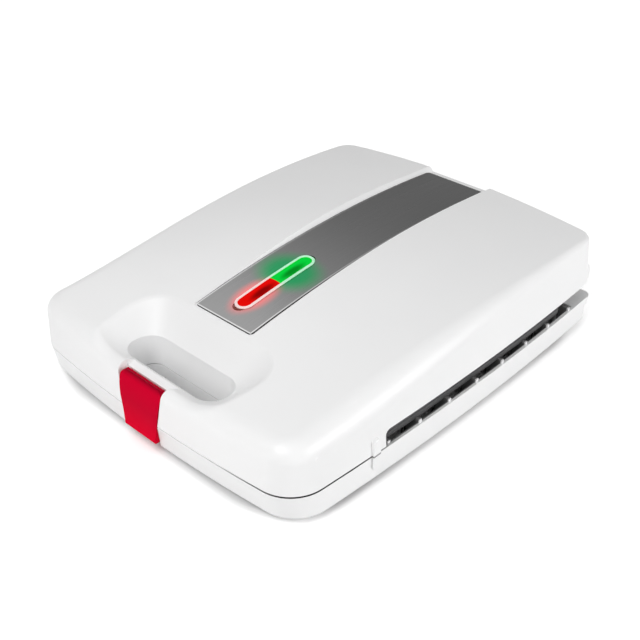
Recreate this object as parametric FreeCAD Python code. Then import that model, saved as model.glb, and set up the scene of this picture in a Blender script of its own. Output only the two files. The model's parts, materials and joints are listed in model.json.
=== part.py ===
import FreeCAD, Part
import math
import os

V = FreeCAD.Vector
X_DIR = V(1, 0, 0)
Z_DIR = V(0, 0, 1)

# Millimetres. X runs to the right, Y to the back, Z up; the feet stand on Z = 0.

# Body outline in plan: bowed front and sides, straight back
HALF_WIDTH = 132.25
SIDE_MID_Y = 7.6
SIDE_R = 2338.0
FRONT_Y = -166.6
FRONT_R = 1057.0
FRONT_CORNER_R = 26.5
LID_CORNER_R_TOP = 12.5
LID_REAR_CORNER_R = 17.0
BASE_REAR_CORNER_R = 6.0
BASE_REAR_Y = 160.5
LID_REAR_Y = 164.5
WALL = 2.6

# Heights
FOOT_H = 4.0
SPLIT_Z = 24.0
SPLIT_GAP = 0.8
BASE_TOP = SPLIT_Z - SPLIT_GAP / 2
LID_LOW = SPLIT_Z + SPLIT_GAP / 2
WINDOW_Z = 36.0
WINDOW_Y = -82.7
PARTING_Z = 30.0
ABOVE_ALL = 110.0
FAR = 220.0
OVERCUT = 1.0
TOUCH = 0.01

# Lean of the walls
BASE_FRONT_LEAN = 3.4
BASE_REAR_LEAN = 4.0
BASE_EDGE_R = 2.5
LID_DRAFT = 0.09
LID_REAR_DRAFT = 0.10

# Lid top, a curved sheet: control points as Y, height on the centre line, height at CROWN_X
CROWN_X = 124.0
CROWN_REACH = 148.0
CROWN_POINTS = [
    (-190.0, 58.7, 57.1),
    (-95.0, 46.8, 57.5),
    (0.0, 106.5, 80.5),
    (95.0, 79.5, 77.6),
    (190.0, 79.9, 70.1),
]
SHOULDER_R_FRONT = 12.0
SHOULDER_R_CORNER = 14.0
SHOULDER_R_REAR = 3.6
INNER_CHAMFER = 7.0

# Trim strip and the channel it lies in, both on one arc about an axis along X
ARC_Y = 76.0
ARC_R = 985.0
ARC_Z = 80.2 - ARC_R
STRIP_HALF = 27.0
STRIP_T = 1.0
STRIP_FRONT_Y = -96.5
STRIP_REAR_Y = 152.5
STRIP_CORNER_R = 3.0
CHANNEL_HALF_TOP = 34.0
CHANNEL_RISE = 9.0
FIT_GAP = 0.2

# Indicator: a capsule let into the strip
LAMP_FRONT_Y = -86.0
LAMP_REAR_Y = -10.0
BEZEL_HALF = 6.0
BEZEL_NECK = 5.2
LENS_HALF = 4.5
BEZEL_PROUD = 1.3
LENS_PROUD = 1.5
BEZEL_DEPTH = 5.0
LAMP_LOW_Z = 40.0

# Hand slot through both halves, and the finger dish round it
SLOT_FRONT_Y = -148.0
SLOT_REAR_Y = -122.0
SLOT_HALF = 43.0
BASE_SLOT_HALF = 42.5
SLOT_R = 10.0
CREASE_Z = 46.0
CREASE_HALF = 45.5
CREASE_REAR_Y = -119.5
CREASE_R = 14.0
DISH_RISE = 24.0
DISH_SPREAD_X = 30.0
DISH_SPREAD_REAR = 26.0
DISH_SPREAD_FRONT = 38.0
DISH_R = 30.0
DISH_RIM_R = 6.0
DISH_WALL = 3.4
BULKHEAD_Y = -112.0

# Hinge
HINGE_Y = 156.0
HINGE_Z = 30.0
HINGE_X = 70.0
HINGE_PIN_R = 2.0
HINGE_ROOT_Z = 52.0
STOP_RIDGE = [(36.0, 1.5), (38.0, 4.0), (41.0, 5.0), (45.0, 4.5), (49.0, 0.6)]
STOP_RIDGE_Y = 128.0
DECK_Y = 134.0
DECK_T = 3.0
REAR_STEP_Y = 152.0
REAR_STEP_Z = 17.0
KNUCKLE_R = 4.5
KNUCKLE_HALF = 5.7
EAR_T = 6.0
RUN_GAP = 0.3
PIN_PLAY = 0.05
HINGE_PIN_HALF = KNUCKLE_HALF + RUN_GAP + EAR_T
EAR_SPREAD = 3.0

# Latch
LATCH_X = -3.0
LATCH_TOP_HALF = 22.9
LATCH_LOW_HALF = 14.1
LATCH_GAP = 0.4
NOTCH_Y = -156.0
NOTCH_TOP = 60.0
NOTCH_LOW = 0.0
NOTCH_WALL = 4.0
THUMB_Y = -150.5
THUMB_Z = 46.9
THUMB_RISE = 0.7
LATCH_PIN_Y = -159.8
LATCH_PIN_Z = 45.0
LATCH_PIN_R = 1.5
KEEPER_Z = 13.4
KEEPER_FACE_Y = -163.5
KEEPER_BACK_Y = -159.6
LATCH_PIN_HALF = LATCH_TOP_HALF + LATCH_GAP + NOTCH_WALL - OVERCUT
BARREL_R = 3.2
BARREL_TURN = 50.0
LATCH_FACE = [(-161.8, 50.0), (-165.4, 40.0), (-166.9, 28.0), (-167.2, 20.0), (-167.9, 11.8)]
LATCH_LIP = [(-167.6, 9.7), (-166.2, 9.0)]
LATCH_CORNER_R = 6.0
HOOK_TIP_Y = -161.0
HOOK_ROOT_Y = -164.9
HOOK_Z = 12.7
LATCH_BACK = (-164.2, 24.0)

# Cooking plates
PLATE_HALF_X = 127.5
PLATE_INSET = 4.2
PLATE_FRONT_Y = -106.0
PLATE_REAR_Y = 130.0
PLATE_R = 24.0
PLATE_T = 4.0
PLATE_GAP = 0.4
RING_MEAN_R = 31.0
RING_R = 14.5
RING_SKIN = 3.0
RING_X = 57.0
RING_Y = 56.0
PLATE_MID_Y = (PLATE_FRONT_Y + PLATE_REAR_Y) / 2
POST_X = 112.0
POST_FRONT_Y = -97.0
POST_REAR_Y = 121.0
POST_R = 5.0
POST_STEP = 2.0
SCREW_R = 1.9
SCREW_HEAD_R = 3.8
SCREW_HEAD_H = 2.2
SCREW_LEN = 14.0
DRILL_SPARE = 2.0
SCREW_SLOT_HALF = 2.2
SCREW_SLOT_T = 0.8
SCREW_SLOT_DEPTH = 1.0

# Heating element and reflector tray
TUBE_R = 3.25
TUBE_X = 113.0
TUBE_FRONT_Y = -99.0
TUBE_REAR_Y = 123.0
TUBE_BEND_R = 40.0
TUBE_END_X = 20.0
TERMINAL_R = 1.6
TERMINAL_LEN = 9.0
LUG_HALF = 4.2
LUG_LEN = 10.0
LUG_H = 8.0
LUG_X = 45.0
LUG_Y = 50.0
TRAY_HALF_X = 119.0
TRAY_FRONT_Y = -104.0
TRAY_REAR_Y = 128.0
TRAY_R = 8.0
TRAY_T = 0.6
FLOOR_T = 2.6
PAD_H = 0.8
LOWER_TRAY_Z = FOOT_H + FLOOR_T + PAD_H
UPPER_TRAY_TOP = 2 * PARTING_Z + PLATE_GAP - LOWER_TRAY_Z

# Small fittings
WINDOW_CORNER_R = 4.0
COVER_T = 2.4
COVER_SCREW_X = 78.0
COVER_SCREW_Y = -138.0
COVER_POST_R = 4.0
COVER_SCREW_LEN = 9.0
FOOT_X = 98.0
FOOT_FRONT_Y = -132.0
FOOT_REAR_Y = 128.0
FOOT_R = 9.0
FOOT_STEM_R = 3.5
FOOT_SINK = 1.5
FOOT_CHAMFER = 1.0
GLAND_X = 84.0
GLAND_Z = 11.6
GLAND_R = 4.8
GLAND_FLANGE_R = 5.3
GLAND_FLANGE_T = 3.0
GLAND_BORE_R = 3.2
THERMOSTAT_R = 9.0
THERMOSTAT_H = 10.0
THERMOSTAT_CAP_R = 7.0
TAG_X = 3.5
TAG_HALF = 2.0
TAG_T = 0.8
TAG_RISE = 4.0
FUSE_R = 2.0
FUSE_LEAD_R = 0.5
FUSE_HALF = 8.0
FUSE_Y = 34.0
BLOCK_X = 40.0
BLOCK_HALF = 14.0
BLOCK_Y = 137.0
BLOCK_DEPTH = 10.0
BLOCK_H = 10.0
WELL_R = 2.0
WIRE_WAY_R = 1.5
HOLDER_HALF = 8.0
HOLDER_WALL = 1.0
HOLDER_DEPTH = 11.0
HOLDER_SPARE = 4.0
BULB_SHARES = (0.25, 0.75)
BULB_R = 2.2
BULB_HALF = 8.0
VENT_COUNT = 6
VENT_PITCH = 9.0
VENT_HALF = 22.0
VENT_T = 3.0
TAB_Y = -92.0
TAB_HALF = 3.2
TAB_LOW = 13.0
TAB_HIGH = 36.0
TAB_PROUD = 0.9
TAB_X = 130.6
TAB_GAP = 0.3
TAB_ROUND = 3.0
PAD_X = 88.0
VENT_X = 57.0

# Side ribs that carry the lower plate
RIB_T = 2.5
RIB_FIRST_Y = -79.0
RIB_PITCH = 29.5
RIB_COUNT = 8
RIB_INNER_X = 119.4
RIB_SETBACK = 1.2


def box(x0, x1, y0, y1, z0, z1):
    """A block between two corners."""
    return Part.makeBox(x1 - x0, y1 - y0, z1 - z0, V(x0, y0, z0))


def fuse(first, others):
    """One solid out of a first one and a list of others."""
    return first.multiFuse(others).removeSplitter()


def arc_edge(cx, cy, r, a0, a1, z):
    """A flat arc about (cx, cy) from angle a0 to angle a1."""
    points = []
    for a in (a0, (a0 + a1) / 2, a1):
        points.append(V(cx + r * math.cos(a), cy + r * math.sin(a), z))
    return Part.Arc(*points).toShape()


def outline(z, inset, front, rear, front_corner=FRONT_CORNER_R, rear_corner=LID_REAR_CORNER_R):
    """Body outline at height z, moved in by inset, all arcs tangent."""
    front_cy = front + FRONT_R
    side_cx = HALF_WIDTH - SIDE_R
    reach_f = FRONT_R - front_corner
    reach_s = SIDE_R - front_corner
    # the front corner's centre lies on both of these circles
    gap_x = -side_cx
    gap_y = front_cy - SIDE_MID_Y
    gap = math.hypot(gap_x, gap_y)
    along = (reach_s ** 2 - reach_f ** 2 + gap ** 2) / (2 * gap)
    across = math.sqrt(reach_s ** 2 - along ** 2)
    corner_x = side_cx + (along * gap_x + across * gap_y) / gap
    corner_y = SIDE_MID_Y + (along * gap_y - across * gap_x) / gap
    rear_cy = rear - rear_corner
    rear_cx = side_cx + math.sqrt((SIDE_R - rear_corner) ** 2 - (rear_cy - SIDE_MID_Y) ** 2)
    a = math.atan2(corner_y - front_cy, corner_x)
    b = math.atan2(corner_y - SIDE_MID_Y, corner_x - side_cx)
    c = math.atan2(rear_cy - SIDE_MID_Y, rear_cx - side_cx)
    up = math.pi / 2
    r_front = front_corner - inset
    r_rear = rear_corner - inset
    edges = [
        arc_edge(0, front_cy, FRONT_R - inset, -math.pi - a, a, z),
        arc_edge(corner_x, corner_y, r_front, a, b, z),
        arc_edge(side_cx, SIDE_MID_Y, SIDE_R - inset, b, c, z),
        arc_edge(rear_cx, rear_cy, r_rear, c, up, z),
        Part.makeLine(V(rear_cx, rear - inset, z), V(-rear_cx, rear - inset, z)),
        arc_edge(-rear_cx, rear_cy, r_rear, up, math.pi - c, z),
        arc_edge(-side_cx, SIDE_MID_Y, SIDE_R - inset, math.pi - c, math.pi - b, z),
        arc_edge(-corner_x, corner_y, r_front, math.pi - b, math.pi - a, z),
    ]
    return Part.Wire(edges)


def round_rect(z, half, y0, y1, r):
    """A rectangle with round corners, centred on X = 0."""
    up = math.pi / 2
    edges = [
        Part.makeLine(V(-half + r, y0, z), V(half - r, y0, z)),
        arc_edge(half - r, y0 + r, r, -up, 0, z),
        Part.makeLine(V(half, y0 + r, z), V(half, y1 - r, z)),
        arc_edge(half - r, y1 - r, r, 0, up, z),
        Part.makeLine(V(half - r, y1, z), V(-half + r, y1, z)),
        arc_edge(-half + r, y1 - r, r, up, 2 * up, z),
        Part.makeLine(V(-half, y1 - r, z), V(-half, y0 + r, z)),
        arc_edge(-half + r, y0 + r, r, 2 * up, 3 * up, z),
    ]
    return Part.Wire(edges)


def prism(wire, height):
    """A wire filled in and raised by height."""
    return Part.Face(wire).extrude(V(0, 0, height))


def capsule(half, y0, y1, z0, z1):
    """An upright prism with a capsule outline along Y."""
    front = y0 + half
    rear = y1 - half
    edges = [
        arc_edge(0, front, half, math.pi, 2 * math.pi, z0),
        Part.makeLine(V(half, front, z0), V(half, rear, z0)),
        arc_edge(0, rear, half, 0, math.pi, z0),
        Part.makeLine(V(-half, rear, z0), V(-half, front, z0)),
    ]
    return prism(Part.Wire(edges), z1 - z0)


def arc_slab(half_low, half_high, r_low, r_high, y0, y1):
    """A bar that follows the strip's arc from y0 to y1, wider or narrower at its top."""
    section = Part.makePolygon([
        V(-half_low, ARC_Y, ARC_Z + r_low),
        V(half_low, ARC_Y, ARC_Z + r_low),
        V(half_high, ARC_Y, ARC_Z + r_high),
        V(-half_high, ARC_Y, ARC_Z + r_high),
        V(-half_low, ARC_Y, ARC_Z + r_low),
    ])
    turn0 = math.degrees(math.asin((ARC_Y - y0) / ARC_R))
    turn1 = math.degrees(math.asin((ARC_Y - y1) / ARC_R))
    axis_point = V(0, ARC_Y, ARC_Z)
    face = Part.Face(section)
    face.rotate(axis_point, X_DIR, turn0)
    return face.revolve(axis_point, V(-1, 0, 0), turn0 - turn1)


def top_block(drop):
    """Everything below the crowned top surface, lowered by drop."""
    sheet = Part.BezierSurface()
    sheet.increase(2, len(CROWN_POINTS) - 1)
    for number, (y, centre, edge) in enumerate(CROWN_POINTS, 1):
        sag = (centre - edge) * (CROWN_REACH / CROWN_X) ** 2
        sheet.setPole(1, number, V(-CROWN_REACH, y, centre - sag - drop))
        sheet.setPole(2, number, V(0, y, centre + sag - drop))
        sheet.setPole(3, number, V(CROWN_REACH, y, centre - sag - drop))
    return sheet.toShape().extrude(V(0, 0, -ABOVE_ALL))


def shoulder_radius(p):
    """Radius of the lid's shoulder at one end of an edge."""
    if p.y > 0:
        return SHOULDER_R_REAR
    if abs(p.x) > HALF_WIDTH - FRONT_CORNER_R / 2:
        return SHOULDER_R_CORNER
    return SHOULDER_R_FRONT


def turn_of(edge):
    """Signed angle about the Z axis that an edge of the outline covers."""
    first, last = edge.ParameterRange
    p = edge.valueAt(first)
    q = edge.valueAt(last)
    return math.remainder(math.atan2(q.y, q.x) - math.atan2(p.y, p.x), 2 * math.pi)


def plain_lid(inset, low):
    """The lid's walls cut off by the crown, moved in by inset, and the numbers of its shoulder edges."""
    rise = ABOVE_ALL - low
    start = low - LID_LOW
    lean0 = inset + LID_DRAFT * start
    lean1 = inset + LID_DRAFT * (start + rise)
    extra0 = (LID_REAR_DRAFT - LID_DRAFT) * start
    extra1 = (LID_REAR_DRAFT - LID_DRAFT) * (start + rise)
    walls = Part.makeLoft([
        outline(low, lean0, FRONT_Y, LID_REAR_Y - extra0),
        outline(ABOVE_ALL, lean1, FRONT_Y, LID_REAR_Y - extra1, LID_CORNER_R_TOP),
    ], True, True)
    body = walls.common(top_block(inset))
    crown = max(body.Faces, key=lambda face: face.CenterOfMass.z)
    numbers = [n for n, e in enumerate(body.Edges, 1) if any(e.isSame(rim) for rim in crown.Edges)]
    return body, numbers


def lid_block():
    """The lid's outer form: a shoulder round of changing radius, run in the sense of its first edge."""
    body, numbers = plain_lid(0.0, LID_LOW)
    sense = turn_of(body.Edges[numbers[0] - 1])
    picks = []
    for number in numbers:
        edge = body.Edges[number - 1]
        first, last = edge.ParameterRange
        radii = [shoulder_radius(edge.valueAt(first)), shoulder_radius(edge.valueAt(last))]
        if turn_of(edge) * sense < 0:
            radii.reverse()
        picks.append((number, radii[0], radii[1]))
    document = FreeCAD.newDocument("lid")
    plain = document.addObject("Part::Feature", "plain")
    plain.Shape = body
    rounded = document.addObject("Part::Fillet", "rounded")
    rounded.Base = plain
    rounded.Edges = picks
    document.recompute()
    return rounded.Shape


def lid_hollow(inset, low):
    """The room inside the lid, with a chamfer along its shoulder."""
    body, numbers = plain_lid(inset, low)
    return body.makeChamfer(INNER_CHAMFER, [body.Edges[n - 1] for n in numbers])


def slot_cutter(grow):
    """The lid's part of the hand slot: nearly upright below the crease."""
    low = LID_LOW - SPLIT_GAP
    return Part.makeLoft([
        round_rect(low, SLOT_HALF + grow, SLOT_FRONT_Y - grow, SLOT_REAR_Y + grow, SLOT_R + grow),
        round_rect(CREASE_Z, CREASE_HALF + grow, SLOT_FRONT_Y - grow, CREASE_REAR_Y + grow,
                   CREASE_R + grow),
    ], True, True)


def dish_cutter(grow):
    """The finger dish: flares out above the crease."""
    high = CREASE_Z + DISH_RISE
    return Part.makeLoft([
        round_rect(CREASE_Z, CREASE_HALF + grow, SLOT_FRONT_Y - grow, CREASE_REAR_Y + grow,
                   CREASE_R + grow),
        round_rect(high, CREASE_HALF + DISH_SPREAD_X + grow, SLOT_FRONT_Y - DISH_SPREAD_FRONT - grow,
                   CREASE_REAR_Y + DISH_SPREAD_REAR + grow, DISH_R + grow),
    ], True, True)


def taper_bar(gap, y0, y1, z0, z1):
    """A bar along Y with the latch's tapering face, wider by gap on each side."""
    slope = (LATCH_TOP_HALF - LATCH_LOW_HALF) / (NOTCH_TOP - FOOT_H)
    half0 = LATCH_LOW_HALF + gap + slope * (z0 - FOOT_H)
    half1 = LATCH_LOW_HALF + gap + slope * (z1 - FOOT_H)
    face = Part.Face(Part.makePolygon([
        V(-half0, y0, z0), V(half0, y0, z0), V(half1, y0, z1), V(-half1, y0, z1), V(-half0, y0, z0),
    ]))
    return face.extrude(V(0, y1 - y0, 0)).translated(V(LATCH_X, 0, 0))


def side_profile(edges, half):
    """A closed profile in the YZ plane, thickened to both sides of X = 0."""
    face = Part.Face(Part.Wire(edges))
    face.translate(V(-half, 0, 0))
    return face.extrude(V(2 * half, 0, 0))


def side_polygon(points, half):
    """A polygon given as Y, Z pairs, thickened to both sides of X = 0."""
    corners = [V(0, y, z) for y, z in points]
    corners.append(corners[0])
    return side_profile(Part.makePolygon(corners).Edges, half)


def rod(r, p, q):
    """A round rod from p to q."""
    return Part.makeCylinder(r, (q - p).Length, p, q - p)


def posts(r, z0, z1):
    """The four upright cylinders at the plate screws."""
    return [Part.makeCylinder(r, z1 - z0, V(x, y, z0))
            for x in (-POST_X, POST_X) for y in (POST_FRONT_Y, POST_REAR_Y)]


def cover_posts(r, z0, z1):
    """The two upright cylinders at the handle cover screws."""
    return [Part.makeCylinder(r, z1 - z0, V(x, COVER_SCREW_Y, z0))
            for x in (-COVER_SCREW_X, COVER_SCREW_X)]


def hinge_rods(r, half):
    """Rods on the hinge axis, one in the middle of each hinge."""
    return [rod(r, V(x - half, HINGE_Y, HINGE_Z), V(x + half, HINGE_Y, HINGE_Z))
            for x in (-HINGE_X, HINGE_X)]


def latch_rod(r, half):
    """A rod on the latch's axis."""
    return rod(r, V(LATCH_X - half, LATCH_PIN_Y, LATCH_PIN_Z), V(LATCH_X + half, LATCH_PIN_Y, LATCH_PIN_Z))


def lamp_prism(half):
    """An upright capsule round the indicator's middle, wide enough for half to each side."""
    step = BEZEL_HALF - half
    return capsule(half, LAMP_FRONT_Y + step, LAMP_REAR_Y - step, LAMP_LOW_Z, ABOVE_ALL)


def window_cutter():
    """The gap between the halves along the sides and the back, round at its front top corner."""
    r = WINDOW_CORNER_R
    a = V(0, WINDOW_Y, NOTCH_LOW)
    b = V(0, WINDOW_Y, WINDOW_Z - r)
    c = V(0, WINDOW_Y + r, WINDOW_Z)
    d = V(0, FAR, WINDOW_Z)
    e = V(0, FAR, NOTCH_LOW)
    mid = V(0, WINDOW_Y + r * (1 - math.sqrt(0.5)), WINDOW_Z - r * (1 - math.sqrt(0.5)))
    edges = [Part.makeLine(a, b), Part.Arc(b, mid, c).toShape(), Part.makeLine(c, d),
             Part.makeLine(d, e), Part.makeLine(e, a)]
    return side_profile(edges, FAR)


def on_shell(shell, edge):
    """True if the middle of an edge lies on a shell."""
    first, last = edge.ParameterRange
    middle = Part.Vertex(edge.valueAt((first + last) / 2))
    return shell.distToShape(middle)[0] < TOUCH


def lid_shell():
    """Moulded upper housing: crowned shell with dish, channel, latch notch and hinge knuckles."""
    block = lid_block()
    dish = dish_cutter(0.0)
    outer = block.cut(dish)
    rim = [e for e in outer.Edges
           if on_shell(dish.Shells[0], e) and on_shell(block.Shells[0], e)]
    outer = outer.makeFillet(DISH_RIM_R, rim)
    floor_r = ARC_R - STRIP_T
    channel = arc_slab(STRIP_HALF + FIT_GAP, CHANNEL_HALF_TOP, floor_r, ARC_R + CHANNEL_RISE,
                       STRIP_FRONT_Y - FIT_GAP, FAR)
    channel_shell = arc_slab(CHANNEL_HALF_TOP + WALL, CHANNEL_HALF_TOP + WALL, floor_r - WALL,
                             ARC_R + CHANNEL_RISE, STRIP_FRONT_Y - WALL, FAR)
    notch = taper_bar(LATCH_GAP, -FAR, NOTCH_Y, NOTCH_LOW, NOTCH_TOP)
    notch_shell = taper_bar(LATCH_GAP + NOTCH_WALL, -FAR, NOTCH_Y + WALL, NOTCH_LOW, NOTCH_TOP)
    thumb = side_polygon([(NOTCH_Y - OVERCUT, THUMB_Z), (NOTCH_Y, THUMB_Z),
                          (THUMB_Y, THUMB_Z + THUMB_RISE), (THUMB_Y, NOTCH_TOP),
                          (NOTCH_Y - OVERCUT, NOTCH_TOP)], LATCH_TOP_HALF).translated(V(LATCH_X, 0, 0))
    bulkhead = box(-FAR, FAR, BULKHEAD_Y - WALL, BULKHEAD_Y, NOTCH_LOW, ABOVE_ALL)
    hollow = lid_hollow(WALL, LID_LOW - SPLIT_GAP)
    hollow = hollow.cut([slot_cutter(DISH_WALL), dish_cutter(DISH_WALL), channel_shell, notch_shell,
                         bulkhead])
    shell = outer.cut([hollow, slot_cutter(0.0), channel, notch, thumb, window_cutter()])

    inside = lid_hollow(WALL / 2, LID_LOW)
    bosses = posts(POST_R, PARTING_Z + PLATE_GAP + PLATE_T, ABOVE_ALL)
    bosses += posts(POST_R + POST_STEP, UPPER_TRAY_TOP, ABOVE_ALL)
    bosses += cover_posts(COVER_POST_R, LID_LOW + COVER_T, ABOVE_ALL)
    knuckle = Part.makeCylinder(KNUCKLE_R, 2 * KNUCKLE_HALF, V(-KNUCKLE_HALF, HINGE_Y, HINGE_Z), X_DIR)
    web = side_polygon([(HINGE_Y - KNUCKLE_R, HINGE_Z), (HINGE_Y + KNUCKLE_R, HINGE_Z),
                        (HINGE_Y + KNUCKLE_R, HINGE_ROOT_Z), (HINGE_Y - KNUCKLE_R, HINGE_ROOT_Z)],
                       KNUCKLE_HALF)
    lugs = []
    for x in (-HINGE_X, HINGE_X):
        lugs.append(knuckle.translated(V(x, 0, 0)))
        lugs.append(web.translated(V(x, 0, 0)))
    rings = [outline(z, WALL / 2 + LID_DRAFT * (z - LID_LOW), FRONT_Y, LID_REAR_Y + WALL / 2 + out)
             for z, out in STOP_RIDGE]
    ridge = Part.makeLoft(rings, True, True)
    ridge = ridge.common(box(-FAR, FAR, STOP_RIDGE_Y, FAR, 0, ABOVE_ALL)).cut(lid_hollow(WALL, LID_LOW))
    added = [b.common(inside) for b in bosses] + lugs + [ridge]
    for x in (-1, 1):
        tab = box(-TAB_HALF, TAB_HALF, -TAB_PROUD, 2 * TAB_PROUD, TAB_LOW, TAB_HIGH)
        tab = tab.makeFillet(TAB_ROUND, [e for e in tab.Edges if e.BoundBox.YLength > TAB_PROUD])
        tab.rotate(V(0, 0, 0), Z_DIR, x * 90)
        added.append(tab.translated(V(x * TAB_X, TAB_Y, 0)).cut(base_block(TAB_GAP)))
    shell = fuse(shell, added)
    drills = posts(SCREW_R, PARTING_Z, PARTING_Z + PLATE_GAP + SCREW_LEN + DRILL_SPARE)
    drills += cover_posts(SCREW_R, LID_LOW, LID_LOW + COVER_SCREW_LEN + DRILL_SPARE)
    drills += hinge_rods(HINGE_PIN_R + PIN_PLAY, HINGE_PIN_HALF)
    drills.append(latch_rod(LATCH_PIN_R, LATCH_PIN_HALF))
    drills.append(lamp_prism(BEZEL_NECK + FIT_GAP))
    return shell.cut(drills)


def base_block(grow):
    """The lower housing's outer form, moved out by grow."""
    return Part.makeLoft([
        outline(FOOT_H, -grow, FRONT_Y + BASE_FRONT_LEAN, BASE_REAR_Y - BASE_REAR_LEAN,
                FRONT_CORNER_R, BASE_REAR_CORNER_R),
        outline(BASE_TOP, -grow, FRONT_Y, BASE_REAR_Y, FRONT_CORNER_R, BASE_REAR_CORNER_R),
    ], True, True)


def base_shell():
    """Moulded lower housing: tray with plate ribs, hand slot, keeper, rear deck and hinge ears."""
    outer = base_block(0.0)
    bottom = [e for e in outer.Edges if e.CenterOfMass.z < FOOT_H + TOUCH]
    outer = outer.makeFillet(BASE_EDGE_R, bottom)
    step = box(-FAR, FAR, REAR_STEP_Y, FAR, 0, REAR_STEP_Z)
    outer = outer.cut(step)

    floor_z = FOOT_H + FLOOR_T
    slot = prism(round_rect(0, BASE_SLOT_HALF, SLOT_FRONT_Y, SLOT_REAR_Y, SLOT_R), BASE_TOP + OVERCUT)
    slot_shell = prism(round_rect(0, BASE_SLOT_HALF + WALL, SLOT_FRONT_Y - WALL, SLOT_REAR_Y + WALL,
                                  SLOT_R + WALL), BASE_TOP - COVER_T)
    room = Part.makeLoft([
        outline(floor_z, WALL, FRONT_Y + BASE_FRONT_LEAN, BASE_REAR_Y - BASE_REAR_LEAN,
                FRONT_CORNER_R, BASE_REAR_CORNER_R),
        outline(BASE_TOP + OVERCUT, WALL, FRONT_Y, BASE_REAR_Y, FRONT_CORNER_R, BASE_REAR_CORNER_R),
    ], True, True)
    bulkhead = box(-FAR, FAR, BULKHEAD_Y - WALL, BULKHEAD_Y, 0, BASE_TOP)
    keeper = taper_bar(LATCH_GAP + WALL, -FAR, KEEPER_BACK_Y + WALL, 0, BASE_TOP)
    deck = box(-FAR, FAR, DECK_Y, FAR, BASE_TOP - DECK_T, BASE_TOP)
    back_wall = box(-FAR, FAR, REAR_STEP_Y - WALL, FAR, 0, REAR_STEP_Z + DECK_T)
    room = room.cut([bulkhead, slot_shell, keeper, deck, back_wall])
    shell = outer.cut([room, slot])
    shell = shell.cut([
        taper_bar(LATCH_GAP, -FAR, KEEPER_FACE_Y, 0, BASE_TOP + OVERCUT),
        taper_bar(LATCH_GAP, -FAR, KEEPER_BACK_Y, 0, KEEPER_Z),
    ])

    rib_z = PARTING_Z - PLATE_T
    tall = Part.makeLoft([
        outline(floor_z, RIB_SETBACK, FRONT_Y, BASE_REAR_Y),
        outline(rib_z, RIB_SETBACK, FRONT_Y, BASE_REAR_Y),
    ], True, True)
    added = []
    for i in range(RIB_COUNT):
        y = RIB_FIRST_Y + i * RIB_PITCH
        rib = box(RIB_INNER_X, HALF_WIDTH, y - RIB_T / 2, y + RIB_T / 2, floor_z, rib_z).common(tall)
        added.append(rib)
        added.append(rib.mirror(V(0, 0, 0), X_DIR))
    added += posts(POST_R, floor_z, rib_z)
    added += cover_posts(COVER_POST_R, floor_z, BASE_TOP - COVER_T)
    for x in (-PAD_X, PAD_X):
        for y in (PLATE_MID_Y - PAD_X, PLATE_MID_Y + PAD_X):
            added.append(Part.makeCylinder(POST_R, PAD_H, V(x, y, floor_z)))
    ear = Part.makeCylinder(KNUCKLE_R, EAR_T, V(0, HINGE_Y, HINGE_Z), X_DIR)
    foot_z = BASE_TOP - OVERCUT
    foot = side_polygon([(HINGE_Y - KNUCKLE_R, HINGE_Z), (HINGE_Y - KNUCKLE_R - EAR_SPREAD, foot_z),
                         (BASE_REAR_Y - FIT_GAP, foot_z), (HINGE_Y + KNUCKLE_R, HINGE_Z)], EAR_T / 2)
    foot.translate(V(EAR_T / 2, 0, 0))
    for x in (-HINGE_X, HINGE_X):
        for start in (KNUCKLE_HALF + RUN_GAP, -KNUCKLE_HALF - RUN_GAP - EAR_T):
            added.append(ear.translated(V(x + start, 0, 0)))
            added.append(foot.translated(V(x + start, 0, 0)))
    shell = fuse(shell, added)

    drills = posts(SCREW_R, PARTING_Z - SCREW_LEN - DRILL_SPARE, PARTING_Z)
    drills += cover_posts(SCREW_R, BASE_TOP - COVER_SCREW_LEN - DRILL_SPARE, BASE_TOP)
    drills += hinge_rods(HINGE_PIN_R, HINGE_PIN_HALF)
    for x in (-FOOT_X, FOOT_X):
        for y in (FOOT_FRONT_Y, FOOT_REAR_Y):
            drills.append(Part.makeCylinder(FOOT_STEM_R, FLOOR_T + OVERCUT, V(x, y, FOOT_H)))
            drills.append(Part.makeCylinder(FOOT_R + FIT_GAP, FOOT_SINK, V(x, y, FOOT_H)))
    for x in (-VENT_X, VENT_X):
        for i in range(VENT_COUNT):
            y = PLATE_MID_Y + (i - (VENT_COUNT - 1) / 2) * VENT_PITCH
            drills.append(box(x - VENT_HALF, x + VENT_HALF, y, y + VENT_T, 0, floor_z + TOUCH))
    drills.append(rod(GLAND_R, V(GLAND_X, REAR_STEP_Y - WALL - OVERCUT, GLAND_Z),
                      V(GLAND_X, REAR_STEP_Y + OVERCUT, GLAND_Z)))
    return shell.cut(drills)


def trim_strip():
    """Curved sheet strip with a capsule hole for the indicator."""
    strip = arc_slab(STRIP_HALF, STRIP_HALF, ARC_R - STRIP_T, ARC_R, STRIP_FRONT_Y, STRIP_REAR_Y)
    corners = [e for e in strip.Edges if abs(e.Length - STRIP_T) < TOUCH]
    strip = strip.makeFillet(STRIP_CORNER_R, corners)
    return strip.cut(lamp_prism(BEZEL_NECK + FIT_GAP))


def on_arc(solid, r_low, r_high):
    """The part of an upright prism between two arcs about the strip's axis."""
    return solid.common(arc_slab(2 * BEZEL_HALF, 2 * BEZEL_HALF, r_low, r_high,
                                 LAMP_FRONT_Y - BEZEL_HALF, LAMP_REAR_Y + BEZEL_HALF))


def indicator_bezel():
    """Ring round both lenses: a flange on the strip and a neck through the lid."""
    flange = on_arc(lamp_prism(BEZEL_HALF), ARC_R, ARC_R + BEZEL_PROUD)
    neck = on_arc(lamp_prism(BEZEL_NECK), ARC_R - BEZEL_DEPTH, ARC_R)
    return fuse(flange, [neck]).cut(lamp_prism(LENS_HALF))


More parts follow.
